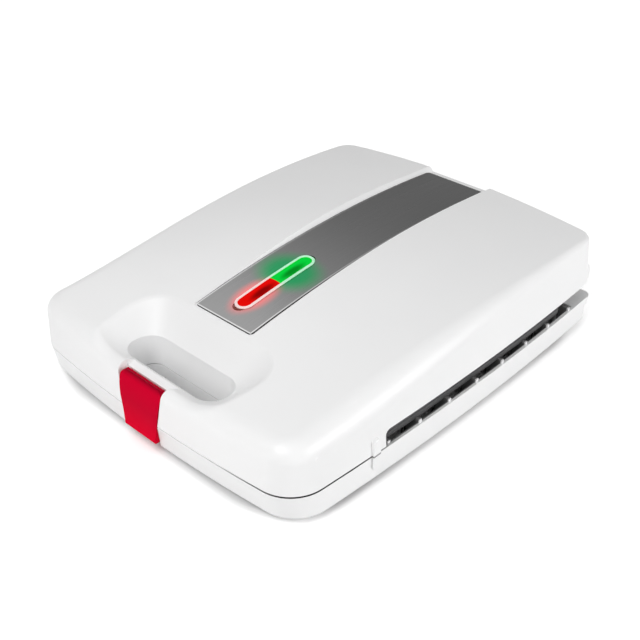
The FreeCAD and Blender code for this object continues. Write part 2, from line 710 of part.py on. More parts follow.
def lens(front):
    """One half of the indicator's lens, front or rear."""
    bar = lamp_prism(LENS_HALF - PIN_PLAY)
    middle = (LAMP_FRONT_Y + LAMP_REAR_Y) / 2
    if front:
        half = box(-FAR, FAR, -FAR, middle - PIN_PLAY, 0, ABOVE_ALL)
    else:
        half = box(-FAR, FAR, middle + PIN_PLAY, FAR, 0, ABOVE_ALL)
    return on_arc(bar.common(half), ARC_R - BEZEL_DEPTH, ARC_R + LENS_PROUD)


def lamp_holder():
    """Trough below the lid's channel that holds the two lamps."""
    high = ARC_R - STRIP_T - WALL - PIN_PLAY
    low = ARC_R - HOLDER_DEPTH
    front = LAMP_FRONT_Y - HOLDER_SPARE
    rear = LAMP_REAR_Y + HOLDER_SPARE
    trough = arc_slab(HOLDER_HALF, HOLDER_HALF, low, high, front, rear)
    side = 2 * HOLDER_WALL
    inner = HOLDER_HALF - side
    return trough.cut(arc_slab(inner, inner, low + HOLDER_WALL, high + OVERCUT, front + side, rear - side))


def indicator_lamps():
    """Two bulbs lying in the trough."""
    bulbs = []
    for share in BULB_SHARES:
        y = LAMP_FRONT_Y + share * (LAMP_REAR_Y - LAMP_FRONT_Y)
        turn = math.asin((ARC_Y - y) / ARC_R)
        r = ARC_R - HOLDER_DEPTH + HOLDER_WALL + BULB_R + 2 * PIN_PLAY
        middle = V(0, ARC_Y - r * math.sin(turn), ARC_Z + r * math.cos(turn))
        along = V(0, math.cos(turn), math.sin(turn))
        bulbs.append(rod(BULB_R, middle - along * BULB_HALF, middle + along * BULB_HALF))
    return Part.makeCompound(bulbs)


def latch():
    """Red clip: tapering face with a lip, hook at the foot, barrel round the pin at the top."""
    def p(y, z):
        return V(0, y, z)

    def bend(a, b, c):
        return Part.Arc(a, b, c).toShape()

    turn = math.radians(BARREL_TURN)
    barrel_low = p(LATCH_PIN_Y - BARREL_R * math.sin(turn), LATCH_PIN_Z - BARREL_R * math.cos(turn))
    barrel_far = p(LATCH_PIN_Y + BARREL_R, LATCH_PIN_Z)
    barrel_top = p(LATCH_PIN_Y, LATCH_PIN_Z + BARREL_R)
    crown, face_mid, face_low, flare, lip = [p(y, z) for y, z in LATCH_FACE]
    lip_round, foot = [p(y, z) for y, z in LATCH_LIP]
    hook_low = p(HOOK_TIP_Y, foot.z)
    hook_top = p(HOOK_TIP_Y, HOOK_Z)
    hook_root = p(HOOK_ROOT_Y, HOOK_Z)
    back_mid = p(*LATCH_BACK)
    edges = [
        bend(crown, face_mid, face_low),
        bend(face_low, flare, lip),
        bend(lip, lip_round, foot),
        Part.makeLine(foot, hook_low),
        Part.makeLine(hook_low, hook_top),
        Part.makeLine(hook_top, hook_root),
        bend(hook_root, back_mid, barrel_low),
        bend(barrel_low, barrel_far, barrel_top),
        Part.makeLine(barrel_top, crown),
    ]
    clip = side_profile(edges, FAR)
    blank = taper_bar(0.0, -FAR, FAR, NOTCH_LOW, crown.z)
    blank = blank.makeFillet(LATCH_CORNER_R, [e for e in blank.Edges if e.BoundBox.ZMin > crown.z - TOUCH
                                              and e.BoundBox.YLength > FAR])
    return clip.common(blank).cut(latch_rod(LATCH_PIN_R + PIN_PLAY, FAR))


def screw(x, y, z, way, length):
    """Countersunk screw whose head is flush at z and whose shank runs up (1) or down (-1)."""
    axis = V(0, 0, way)
    head = Part.makeCone(SCREW_HEAD_R, SCREW_R, SCREW_HEAD_H, V(x, y, z), axis)
    shank = Part.makeCylinder(SCREW_R - PIN_PLAY, length, V(x, y, z), axis)
    body = fuse(head, [shank])
    for turn in (0, 90):
        slot = box(-SCREW_SLOT_HALF, SCREW_SLOT_HALF, -SCREW_SLOT_T / 2, SCREW_SLOT_T / 2,
                   -SCREW_SLOT_DEPTH, SCREW_SLOT_DEPTH)
        slot.rotate(V(0, 0, 0), Z_DIR, turn)
        body = body.cut(slot.translated(V(x, y, z)))
    return body


def screw_hole(x, y, z, way):
    """Clearance for one countersunk screw through a thin wall."""
    axis = V(0, 0, way)
    play = 2 * PIN_PLAY
    sink = Part.makeCone(SCREW_HEAD_R + play, SCREW_R + play, SCREW_HEAD_H, V(x, y, z), axis)
    return sink.fuse(Part.makeCylinder(SCREW_R + play, SCREW_LEN, V(x, y, z), axis))


def upper(solid):
    """A lower piece mirrored through the middle of the gap between the plates."""
    return solid.mirror(V(0, 0, PARTING_Z + PLATE_GAP / 2), Z_DIR)


def tube_path(x_end):
    """Centre line of the heating element: one loop, open at the back."""
    z = PARTING_Z - PLATE_T - TUBE_R
    r = TUBE_BEND_R
    up = math.pi / 2
    front = TUBE_FRONT_Y
    rear = TUBE_REAR_Y
    side = TUBE_X
    return Part.Wire([
        Part.makeLine(V(x_end, rear, z), V(side - r, rear, z)),
        arc_edge(side - r, rear - r, r, up, 0, z),
        Part.makeLine(V(side, rear - r, z), V(side, front + r, z)),
        arc_edge(side - r, front + r, r, 0, -up, z),
        Part.makeLine(V(side - r, front, z), V(-side + r, front, z)),
        arc_edge(-side + r, front + r, r, -up, -2 * up, z),
        Part.makeLine(V(-side, front + r, z), V(-side, rear - r, z)),
        arc_edge(-side + r, rear - r, r, -2 * up, -3 * up, z),
        Part.makeLine(V(-side + r, rear, z), V(-x_end, rear, z)),
    ])


def tube(r, x_end):
    """A round bar along the heating element's centre line."""
    start = V(x_end, TUBE_REAR_Y, PARTING_Z - PLATE_T - TUBE_R)
    ring = Part.Wire(Part.makeCircle(r, start, X_DIR))
    return tube_path(x_end).makePipeShell([ring], True, False)


def heater():
    """Sheathed element with a thin terminal at each end."""
    z = PARTING_Z - PLATE_T - TUBE_R
    ends = [rod(TERMINAL_R, V(way * (TUBE_END_X + OVERCUT), TUBE_REAR_Y, z),
                V(way * (TUBE_END_X - TERMINAL_LEN), TUBE_REAR_Y, z)) for way in (-1, 1)]
    return fuse(tube(TUBE_R, TUBE_END_X), ends)


def cooking_plate():
    """Cast lower plate: flat rim, four ring cavities with even skins, lugs round the element."""
    low = PARTING_Z - PLATE_T
    slab = prism(round_rect(low, PLATE_HALF_X, PLATE_FRONT_Y, PLATE_REAR_Y, PLATE_R), PLATE_T)
    slab = slab.common(prism(outline(low, PLATE_INSET, FRONT_Y, LID_REAR_Y), PLATE_T))
    out = RING_R + RING_SKIN
    bevel = out * math.tan(math.pi / 8)
    bowl = Part.Face(Part.makePolygon([
        V(RING_MEAN_R - out, 0, low + PLATE_T / 2), V(RING_MEAN_R - out, 0, PARTING_Z - bevel),
        V(RING_MEAN_R - bevel, 0, PARTING_Z - out), V(RING_MEAN_R + bevel, 0, PARTING_Z - out),
        V(RING_MEAN_R + out, 0, PARTING_Z - bevel), V(RING_MEAN_R + out, 0, low + PLATE_T / 2),
        V(RING_MEAN_R - out, 0, low + PLATE_T / 2),
    ])).revolve(V(0, 0, 0), Z_DIR, 360)
    bowls = []
    rings = []
    for x in (-RING_X, RING_X):
        for y in (PLATE_MID_Y - RING_Y, PLATE_MID_Y + RING_Y):
            bowls.append(bowl.translated(V(x, y, 0)))
            rings.append(Part.makeTorus(RING_MEAN_R, RING_R, V(x, y, PARTING_Z)))
    lugs = []
    for way in (-1, 1):
        for y in (PLATE_MID_Y - LUG_Y, PLATE_MID_Y + LUG_Y):
            lugs.append(box(way * TUBE_X - LUG_HALF, way * TUBE_X + LUG_HALF,
                            y - LUG_LEN / 2, y + LUG_LEN / 2, low - LUG_H, low))
        for y in (TUBE_FRONT_Y, TUBE_REAR_Y):
            lugs.append(box(way * LUG_X - LUG_LEN / 2, way * LUG_X + LUG_LEN / 2,
                            y - LUG_HALF, y + LUG_HALF, low - LUG_H, low))
    plate = fuse(slab, bowls + lugs)
    holes = [screw_hole(x, y, PARTING_Z, -1)
             for x in (-POST_X, POST_X) for y in (POST_FRONT_Y, POST_REAR_Y)]
    return plate.cut(rings + holes + [tube(TUBE_R + PIN_PLAY, TUBE_END_X - OVERCUT)])


def reflector():
    """Thin tray below the element, with holes for the screw posts."""
    high = PARTING_Z - PLATE_T
    inner = TRAY_HALF_X - TRAY_T
    tray = prism(round_rect(LOWER_TRAY_Z, TRAY_HALF_X, TRAY_FRONT_Y, TRAY_REAR_Y, TRAY_R),
                 high - LOWER_TRAY_Z)
    room = prism(round_rect(LOWER_TRAY_Z + TRAY_T, inner, TRAY_FRONT_Y + TRAY_T, TRAY_REAR_Y - TRAY_T,
                            TRAY_R - TRAY_T), high)
    return tray.cut([room] + posts(POST_R + RUN_GAP, 0, high))


def plate_screws():
    """Four screws that hold the lower plate."""
    return Part.makeCompound([screw(x, y, PARTING_Z, -1, SCREW_LEN)
                              for x in (-POST_X, POST_X) for y in (POST_FRONT_Y, POST_REAR_Y)])


def lid_handle_cover():
    """Flat cover under the lid's handle."""
    front = box(-FAR, FAR, -FAR, BULKHEAD_Y - WALL - FIT_GAP, 0, ABOVE_ALL)
    plate = prism(outline(LID_LOW, WALL + 2 * FIT_GAP, FRONT_Y, LID_REAR_Y), COVER_T).common(front)
    holes = [screw_hole(x, COVER_SCREW_Y, LID_LOW, 1) for x in (-COVER_SCREW_X, COVER_SCREW_X)]
    notch = taper_bar(LATCH_GAP + NOTCH_WALL + FIT_GAP, -FAR, NOTCH_Y + WALL + FIT_GAP, NOTCH_LOW,
                      NOTCH_TOP)
    return plate.cut(holes + [notch, slot_cutter(DISH_WALL + FIT_GAP)])


def base_handle_cover():
    """Flat cover on the base's handle."""
    front = box(-FAR, FAR, -FAR, BULKHEAD_Y - WALL - FIT_GAP, 0, ABOVE_ALL)
    low = BASE_TOP - COVER_T
    plate = prism(outline(low, WALL + 4 * FIT_GAP, FRONT_Y, BASE_REAR_Y), COVER_T).common(front)
    holes = [screw_hole(x, COVER_SCREW_Y, BASE_TOP, -1) for x in (-COVER_SCREW_X, COVER_SCREW_X)]
    keeper = taper_bar(LATCH_GAP + WALL + FIT_GAP, -FAR, KEEPER_BACK_Y + WALL + FIT_GAP, 0,
                       BASE_TOP + OVERCUT)
    slot = prism(round_rect(0, BASE_SLOT_HALF, SLOT_FRONT_Y, SLOT_REAR_Y, SLOT_R), BASE_TOP + OVERCUT)
    return plate.cut(holes + [keeper, slot])


def rubber_foot(x, y):
    """Round foot with a stem in the base's floor."""
    pad = Part.makeCylinder(FOOT_R, FOOT_H + FOOT_SINK, V(x, y, 0))
    pad = pad.makeChamfer(FOOT_CHAMFER, [e for e in pad.Edges if e.BoundBox.ZMax < FOOT_CHAMFER])
    stem = Part.makeCylinder(FOOT_STEM_R - PIN_PLAY, FOOT_H + FLOOR_T, V(x, y, 0))
    stem = stem.common(box(-FAR, FAR, -FAR, FAR, FOOT_H, ABOVE_ALL))
    return fuse(pad, [stem])


def cord_gland():
    """Bush in the base's rear wall."""
    start = V(GLAND_X, REAR_STEP_Y - WALL, GLAND_Z)
    face = V(GLAND_X, REAR_STEP_Y, GLAND_Z)
    end = V(GLAND_X, REAR_STEP_Y + GLAND_FLANGE_T, GLAND_Z)
    bush = fuse(rod(GLAND_R - PIN_PLAY, start, face), [rod(GLAND_FLANGE_R, face, end)])
    return bush.cut(rod(GLAND_BORE_R, start, end))


def thermostat():
    """Snap disc thermostat on the back of the upper plate, with two tags."""
    z = PARTING_Z + PLATE_GAP + PLATE_T
    can = Part.makeCylinder(THERMOSTAT_R, THERMOSTAT_H / 2, V(0, PLATE_MID_Y, z))
    cap = Part.makeCylinder(THERMOSTAT_CAP_R, THERMOSTAT_H, V(0, PLATE_MID_Y, z))
    top = z + THERMOSTAT_H
    tags = [box(x - TAG_HALF, x + TAG_HALF, PLATE_MID_Y - TAG_T / 2, PLATE_MID_Y + TAG_T / 2,
                top - OVERCUT, top + TAG_RISE) for x in (-TAG_X, TAG_X)]
    return fuse(can, [cap] + tags)


def thermal_fuse():
    """Small sleeve lying on the back of the upper plate."""
    z = PARTING_Z + PLATE_GAP + PLATE_T + FUSE_R
    sleeve = rod(FUSE_R, V(-FUSE_HALF, FUSE_Y, z), V(FUSE_HALF, FUSE_Y, z))
    lead = rod(FUSE_LEAD_R, V(-2 * FUSE_HALF, FUSE_Y, z), V(2 * FUSE_HALF, FUSE_Y, z))
    return fuse(sleeve, [lead])


def terminal_block():
    """Three-way block on the base's floor below the rear deck."""
    z = FOOT_H + FLOOR_T
    block = box(BLOCK_X - BLOCK_HALF, BLOCK_X + BLOCK_HALF, BLOCK_Y, BLOCK_Y + BLOCK_DEPTH, z, z + BLOCK_H)
    wells = []
    for i in (-1, 0, 1):
        x = BLOCK_X + i * BLOCK_HALF * 2 / 3
        wells.append(Part.makeCylinder(WELL_R, BLOCK_H, V(x, BLOCK_Y + BLOCK_DEPTH / 2, z + BLOCK_H / 2)))
        wells.append(rod(WIRE_WAY_R, V(x, 0, z + BLOCK_H / 3), V(x, FAR, z + BLOCK_H / 3)))
    return block.cut(wells)


def build():
    """All nodes by name."""
    pins = hinge_rods(HINGE_PIN_R, HINGE_PIN_HALF)
    lower_plate = cooking_plate()
    lower_heater = heater()
    lower_tray = reflector()
    lower_screws = plate_screws()
    nodes = {
        "base_shell": base_shell(),
        "base_handle_cover": base_handle_cover(),
        "base_cover_screws": Part.makeCompound([screw(x, COVER_SCREW_Y, BASE_TOP, -1, COVER_SCREW_LEN)
                                                for x in (-COVER_SCREW_X, COVER_SCREW_X)]),
        "lower_plate": lower_plate,
        "lower_plate_screws": lower_screws,
        "lower_heater": lower_heater,
        "lower_reflector": lower_tray,
        "terminal_block": terminal_block(),
        "cord_gland": cord_gland(),
        "hinge_pin_left": pins[0],
        "hinge_pin_right": pins[1],
        "lid_shell": lid_shell(),
        "lid_handle_cover": lid_handle_cover(),
        "lid_cover_screws": Part.makeCompound([screw(x, COVER_SCREW_Y, LID_LOW, 1, COVER_SCREW_LEN)
                                               for x in (-COVER_SCREW_X, COVER_SCREW_X)]),
        "upper_plate": upper(lower_plate),
        "upper_plate_screws": upper(lower_screws),
        "upper_heater": upper(lower_heater),
        "upper_reflector": upper(lower_tray),
        "thermostat": thermostat(),
        "thermal_fuse": thermal_fuse(),
        "trim_strip": trim_strip(),
        "indicator_bezel": indicator_bezel(),
        "red_lens": lens(True),
        "green_lens": lens(False),
        "lamp_holder": lamp_holder(),
        "indicator_lamps": indicator_lamps(),
        "latch_pin": latch_rod(LATCH_PIN_R, LATCH_PIN_HALF),
        "latch": latch(),
    }
    for side, x in (("left", -FOOT_X), ("right", FOOT_X)):
        nodes["foot_front_" + side] = rubber_foot(x, FOOT_FRONT_Y)
        nodes["foot_rear_" + side] = rubber_foot(x, FOOT_REAR_Y)
    return nodes


if __name__ == "__main__":
    os.makedirs("parts", exist_ok=True)
    for name, shape in build().items():
        shape.exportStep("parts/" + name + ".step")
        print(name, len(shape.Solids), round(shape.Volume))
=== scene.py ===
import json
import math

import bmesh
import bpy
from mathutils import Matrix, Vector


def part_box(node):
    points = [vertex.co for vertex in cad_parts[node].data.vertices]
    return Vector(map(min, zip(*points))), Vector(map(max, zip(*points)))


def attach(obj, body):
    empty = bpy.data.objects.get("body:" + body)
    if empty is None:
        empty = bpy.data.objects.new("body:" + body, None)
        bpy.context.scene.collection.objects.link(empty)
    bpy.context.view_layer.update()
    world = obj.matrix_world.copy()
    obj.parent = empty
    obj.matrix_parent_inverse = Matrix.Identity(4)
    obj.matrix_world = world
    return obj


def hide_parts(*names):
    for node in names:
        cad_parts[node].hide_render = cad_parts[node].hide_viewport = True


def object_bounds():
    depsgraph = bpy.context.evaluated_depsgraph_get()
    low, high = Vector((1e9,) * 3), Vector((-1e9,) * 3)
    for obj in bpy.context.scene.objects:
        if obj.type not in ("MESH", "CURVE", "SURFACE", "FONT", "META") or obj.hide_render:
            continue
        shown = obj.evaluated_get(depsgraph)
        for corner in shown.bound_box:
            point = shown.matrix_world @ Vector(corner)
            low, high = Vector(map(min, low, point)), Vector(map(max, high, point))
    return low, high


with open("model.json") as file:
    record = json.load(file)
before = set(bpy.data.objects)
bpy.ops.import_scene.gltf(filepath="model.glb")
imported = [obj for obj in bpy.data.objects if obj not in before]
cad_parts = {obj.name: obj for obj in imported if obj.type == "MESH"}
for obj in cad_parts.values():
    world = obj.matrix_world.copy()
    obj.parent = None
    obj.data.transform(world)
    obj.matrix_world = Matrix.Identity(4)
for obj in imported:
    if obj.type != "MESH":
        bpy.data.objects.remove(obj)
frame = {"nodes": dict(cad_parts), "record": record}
cad_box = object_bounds()
nodes = frame["nodes"]

# Camera, in metres and degrees
CAMERA_AT = Vector((0.42205, -0.4485, 0.4213))
CAMERA_AZIMUTH = 43.5
CAMERA_ELEVATION = 33.2
LENS_MM = 56.25
SENSOR_MM = 36.0

# Level of the world where it lights things
WORLD_LEVEL = 0.19

# Floor: tone and half width, and its lift towards white where it is seen, at distances in metres
# past the part's box with round corners
FLOOR_GREY = 0.93
FLOOR_HALF = 4.0
FLOOR_LIFTS = ((-0.009, 0.0), (0.002, 0.37), (0.026, 0.57), (0.3, 0.68), (1.5, 0.80))
FLOOR_ROUND = 0.06

# Area lamps: place, aim and size in metres, power in watts
LAMPS = {
    "front": (Vector((0.10, -0.75, 0.55)), Vector((0.0, 0.0, 0.04)), 0.6, 2.45),
    "front_high": (Vector((0.05, -0.60, 0.80)), Vector((0.0, -0.08, 0.05)), 0.5, 2.85),
    "right": (Vector((1.2, 0.4, 0.45)), Vector((0.0, 0.0, 0.04)), 0.7, 8.1),
    "left": (Vector((-0.70, 0.15, 0.87)), Vector((0.0, -0.05, 0.06)), 0.5, 0.75),
    "back": (Vector((-0.57, 0.51, 0.95)), Vector((0.0, -0.05, 0.06)), 0.6, 0.55),
}

# Sockets of the Mix node that carry colours
MIX_FACTOR = 0
MIX_FIRST = 6
MIX_SECOND = 7
MIX_RESULT = 2

# Noise: cells per metre and levels of detail, then the part of its range that is used
DRIFT = (14.0, 2.0)
MOTTLE = (260.0, 3.0)
GRAIN = (2400.0, 2.0)
SPECKLE = (1800.0, 2.0)
COAT_MOTTLE = (300.0, 3.0)
LENS_DRIFT = (180.0, 2.0)
GLASS_DRIFT = (90.0, 1.0)
NOISE_LOW = 0.3
NOISE_HIGH = 0.7

# Depth of the fine relief, in metres
GRAIN_DEPTH = 0.00004
SPECKLE_DEPTH = 0.00005
SCRATCH_DEPTH = 0.00002

# Moulded plastics: dark and light colour, lowest and highest roughness, strength of the grain
WHITE_PLASTIC = ((0.895, 0.895, 0.897), (0.91, 0.91, 0.91), 0.3, 0.38, 0.05)
WHITE_IOR = 1.46
MOULDED = {
    "inner_plastic": ((0.70, 0.68, 0.62), (0.78, 0.76, 0.70), 0.5, 0.6, 0.1),
    "rubber": ((0.022, 0.022, 0.022), (0.036, 0.036, 0.036), 0.7, 0.85, 0.2),
}

# Metals: dark and light colour, lowest and highest roughness, noise cells per metre along each axis,
# strength of the scratches
METALS = {
    "bright_sheet": ((0.62, 0.62, 0.63), (0.76, 0.76, 0.77), 0.22, 0.34, (30.0, 900.0, 30.0), 0.08),
    "steel": ((0.55, 0.55, 0.55), (0.66, 0.66, 0.66), 0.18, 0.28, (400.0, 400.0, 400.0), 0.05),
    "element_sheath": ((0.24, 0.23, 0.22), (0.38, 0.37, 0.36), 0.4, 0.55, (300.0, 300.0, 300.0), 0.1),
}
METAL_DETAIL = 4.0

# Coat of the cooking plates
COAT_DARK = (0.026, 0.026, 0.027)
COAT_LIGHT = (0.050, 0.050, 0.052)
COAT_ROUGH = (0.38, 0.52)
COAT_RELIEF = 0.15

# Parting line of the shells, darkened with painted shade round the near corner, in metres: half height,
# then where the shade centres and how far it reaches
SPLIT_Z = 0.024
LINE_HALF = 0.00055
LINE_SOFT = 0.0002
LINE_X = 0.130
LINE_Y = -0.135
LINE_NEAR = 0.020
LINE_FAR = 0.085
LINE_SHADE_TONE = (0.012, 0.012, 0.012)

# Lower edge of the base, darkened with painted shade: height in metres, share and tone
LOW_EDGE_RISE = 0.0025
LOW_EDGE_SHADE = 0.7
LOW_EDGE_SHADE_TONE = (0.2, 0.2, 0.2)

# Well behind the base's side ribs, in metres, darkened with painted shade
SIDE_RADIUS = 2.338
WELL_INSET = 0.0019
WELL_FRONT = -0.083
WELL_REAR = 0.134
WELL_LOW = 0.008
WELL_SOFT = 0.0003
WELL_SHADE_TONE = (0.2, 0.2, 0.2)

# Latch: its height in metres, colours at shares of it, with painted shade under its top edge and painted
# light towards its lip, and its surface
LATCH_LOW = 0.009
LATCH_HIGH = 0.050
LATCH_SHADE_TONES = (
    (0.0, (0.78, 0.001, 0.026)),
    (0.55, (0.60, 0.001, 0.025)),
    (0.90, (0.63, 0.001, 0.026)),
    (0.95, (0.50, 0.001, 0.022)),
    (1.0, (0.25, 0.001, 0.013)),
)
LATCH_ROUGH = (0.5, 0.6)
LATCH_GRAIN = 0.06
LATCH_SHINE = 0.01

# Trim strip, in metres: outline, the arc of its top, and the lines along its edge, one of them a painted
# highlight
STRIP_HALF = 0.027
STRIP_FRONT = -0.0965
STRIP_REAR = 0.1525
ARC_Y = 0.076
ARC_R = 0.985
ARC_TOP = 0.0802
EDGE_GAP = 0.0004
EDGE_HIGHLIGHT_WIDTH = 0.0012
EDGE_SOFT = 0.0003

# Strip tones at shares of its length, a painted reflection darker towards the rear, its edge as a
# painted highlight and its seat as shares of them, and its brushing
STRIP_REFLECTION_TONES = ((0.0, 0.175), (0.5, 0.09), (1.0, 0.025))
EDGE_HIGHLIGHT_LEVEL = 2.5
SEAT_LEVEL = 0.48
BRUSH_CELLS = (1800.0, 10.0, 10.0)
BRUSH_DETAIL = 3.0
BRUSH_DRIFT = 0.02
BRUSH_ROUGH = (0.27, 0.32)
BRUSH_RELIEF = 0.05

# Red and green lamp light painted on the strip as a painted reflection: place along Y, squash along Y,
# reach of the full and of the last light in metres, tone
PAINTED_LAMP_GLOWS = (
    (-0.066, 0.6, 0.007, 0.016, (0.50, 0.135, 0.135)),
    (-0.034, 1.25, 0.012, 0.032, (0.008, 0.20, 0.066)),
)

# Lit lenses: colour, glow, its bright and dim strength, place of the dim patch along Y in metres
LENSES = {
    "red_light": ((0.22, 0.002, 0.002), (1.0, 0.004, 0.002), 0.60, 0.08, -0.062),
    "green_light": ((0.002, 0.20, 0.010), (0.002, 0.75, 0.06), 0.65, 0.14, -0.033),
}
LENS_SHADE = 0.92
LENS_ROUGH = 0.4
DIM_X = 0.0022
DIM_SQUASH = 0.3
DIM_NEAR = 0.0012
DIM_FAR = 0.0046

# Milky ring: colours of its two halves with the light of the lamps below painted in, where they meet in
# metres, its surface and its painted glow
RING_RED = (0.92, 0.72, 0.70)
RING_GREEN = (0.46, 0.92, 0.62)
LAMP_MIDDLE = -0.048
LAMP_BLEND = 0.004
RING_ROUGH = 0.4
RING_SHINE = 0.02
RING_GLOW = (1.0, 0.95, 0.93, 1)
RING_GLOW_LEVEL = 0.12

# Glass of the lamps
GLASS_DARK = (0.9, 0.9, 0.9)
GLASS_LIGHT = (0.96, 0.96, 0.96)
GLASS_ROUGH = 0.05
GLASS_IOR = 1.5
GLASS_CLEAR = 0.9

# Indicator caps, in metres: ring with its profile as half widths and heights over the strip, then lenses
RING_FRONT = -0.0829
RING_REAR = -0.0121
RING_HALF = 0.0070
RING_PROFILE = (
    (0.0070, -0.0001),
    (0.0070, 0.0006),
    (0.0067, 0.0009),
    (0.0055, 0.0009),
    (0.0051, 0.0006),
    (0.0051, -0.0001),
)
LENS_HALF = 0.00505
LENS_LOW = -0.0002
LENS_RISE = 0.0004
DOME_RISE = 0.0007
DOME_ANGLE = math.radians(80)
DOME_STEPS = 6
SIDE_STEPS = 12
TURN_STEPS = 24
SHARP_ANGLE = math.radians(35)


class Nodes:
    """A material's node tree with short calls to add and join nodes."""

    def __init__(self, name):
        self.material = bpy.data.materials.new(name)
        self.material.use_nodes = True
        self.tree = self.material.node_tree
        self.shader = self.tree.nodes["Principled BSDF"]

    def add(self, kind, **values):
        node = self.tree.nodes.new(kind)
        for key, value in values.items():
            setattr(node, key, value)
        return node

    def join(self, source, target):
        self.tree.links.new(source, target)

    def place(self, scale, shift=(0, 0, 0)):
        """Object coordinates stretched by a scale along each axis, then shifted."""
        coords = self.add("ShaderNodeTexCoord")
        mapping = self.add("ShaderNodeMapping")
        mapping.inputs["Scale"].default_value = scale
        mapping.inputs["Location"].default_value = shift
        self.join(coords.outputs["Object"], mapping.inputs["Vector"])
        return mapping.outputs["Vector"]

    def noise(self, scale, detail, stretch=(1, 1, 1)):
        """Noise in object space, with scale in cells per metre."""
        texture = self.add("ShaderNodeTexNoise")
        texture.inputs["Scale"].default_value = scale
        texture.inputs["Detail"].default_value = detail
        self.join(self.place(stretch), texture.inputs["Vector"])
        return texture.outputs["Fac"]

    def spread(self, source, low, high):
        """A noise value mapped to a range."""
        ranged = self.add("ShaderNodeMapRange")
        ranged.inputs["From Min"].default_value = NOISE_LOW
        ranged.inputs["From Max"].default_value = NOISE_HIGH
        ranged.inputs["To Min"].default_value = low
        ranged.inputs["To Max"].default_value = high
        self.join(source, ranged.inputs["Value"])
        return ranged.outputs["Result"]

    def ramp(self, source, stops):
        """A 0 to 1 value mapped to colours at stops along it."""
        node = self.add("ShaderNodeValToRGB")
        elements = node.color_ramp.elements
        while len(elements) < len(stops):
            elements.new(1.0)
        for element, (position, colour) in zip(elements, stops):
            element.position = position
            element.color = (*colour, 1)
        self.join(source, node.inputs["Fac"])
        return node.outputs["Color"]

    def tint(self, source, dark, light):
        """The base colour drifts between two colours with a noise value."""
        self.colour = self.ramp(source, ((NOISE_LOW, dark), (NOISE_HIGH, light)))
        self.paint(self.colour)

    def paint(self, colour):
        self.join(colour, self.shader.inputs["Base Color"])

    def rough(self, source, low, high):
        self.join(self.spread(source, low, high), self.shader.inputs["Roughness"])

    def bump(self, source, strength, depth):
        """Fine relief, with its depth in metres."""
        node = self.add("ShaderNodeBump")
        node.inputs["Strength"].default_value = strength
        node.inputs["Distance"].default_value = depth
        self.join(source, node.inputs["Height"])
        self.join(node.outputs["Normal"], self.shader.inputs["Normal"])

    def set(self, **values):
        for key, value in values.items():
            self.shader.inputs[key.replace("_", " ")].default_value = value

    def axes(self):
        """Object coordinates as three values in metres."""
        split = self.add("ShaderNodeSeparateXYZ")
        self.join(self.place((1, 1, 1)), split.inputs["Vector"])
        return [split.outputs[axis] for axis in "XYZ"]

    def past_box(self, half_x, half_y):
        """Distance in plan past a rectangle about the middle."""
        squares = []
        for value, half in zip(self.axes(), (half_x, half_y)):
            over = self.math("MAXIMUM", self.math("SUBTRACT", self.math("ABSOLUTE", value), half), 0.0)
            squares.append(self.math("MULTIPLY", over, over))
        return self.math("SQRT", self.math("ADD", *squares))

    def away(self, y, squash, x=0.0):
        """Distance in plan from a point, squashed along Y."""
        node = self.add("ShaderNodeVectorMath", operation="LENGTH")
        self.join(self.place((1, squash, 0), (-x, -y * squash, 0)), node.inputs[0])
        return node.outputs["Value"]

    def math(self, operation, *values):
        """One sum on values and plain numbers."""
        node = self.add("ShaderNodeMath", operation=operation)
        for socket, value in zip(node.inputs, values):
            if isinstance(value, bpy.types.NodeSocket):
                self.join(value, socket)
            else:
                socket.default_value = value
        return node.outputs["Value"]

    def fade(self, source, start, end, low, high):
        """A value that goes softly from low to high between two places."""
        ranged = self.add("ShaderNodeMapRange", interpolation_type="SMOOTHSTEP")
        for name, value in (("From Min", start), ("From Max", end), ("To Min", low), ("To Max", high)):
            ranged.inputs[name].default_value = value
        self.join(source, ranged.inputs["Value"])
        return ranged.outputs["Result"]

    def mix(self, source, first, second):
        """A colour between two colours, each plain or from another node."""
        node = self.add("ShaderNodeMix", data_type="RGBA")
        self.join(source, node.inputs[MIX_FACTOR])
        for place, colour in ((MIX_FIRST, first), (MIX_SECOND, second)):
            if isinstance(colour, bpy.types.NodeSocket):
                self.join(colour, node.inputs[place])
            else:
                node.inputs[place].default_value = (*colour, 1)
        return node.outputs[MIX_RESULT]


def moulded(name, dark, light, rough_low, rough_high, grain):
    """Satin moulded plastic: slight tone drift, fine spark grain."""
    m = Nodes(name)
    m.tint(m.noise(*DRIFT), dark, light)
    m.rough(m.noise(*MOTTLE), rough_low, rough_high)
    m.bump(m.noise(*GRAIN), grain, GRAIN_DEPTH)
    return m


def glossy_white(name):
    m = moulded(name, *WHITE_PLASTIC)
    m.set(IOR=WHITE_IOR)
    return m


def shell_plastic(name):
    """White plastic with painted shade on its parting line round the near corner."""
    m = glossy_white(name)
    z = m.axes()[2]
    off_split = m.math("ABSOLUTE", m.math("SUBTRACT", z, SPLIT_Z))
    line = m.fade(off_split, LINE_HALF, LINE_HALF + LINE_SOFT, 1.0, 0.0)
    # painted shade on the parting line, strongest at the near corner
    shade_here = m.fade(m.away(LINE_Y, 1.0, LINE_X), LINE_NEAR, LINE_FAR, 1.0, 0.0)
    m.colour = m.mix(m.math("MULTIPLY", line, shade_here), m.colour, LINE_SHADE_TONE)
    m.paint(m.colour)
    return m


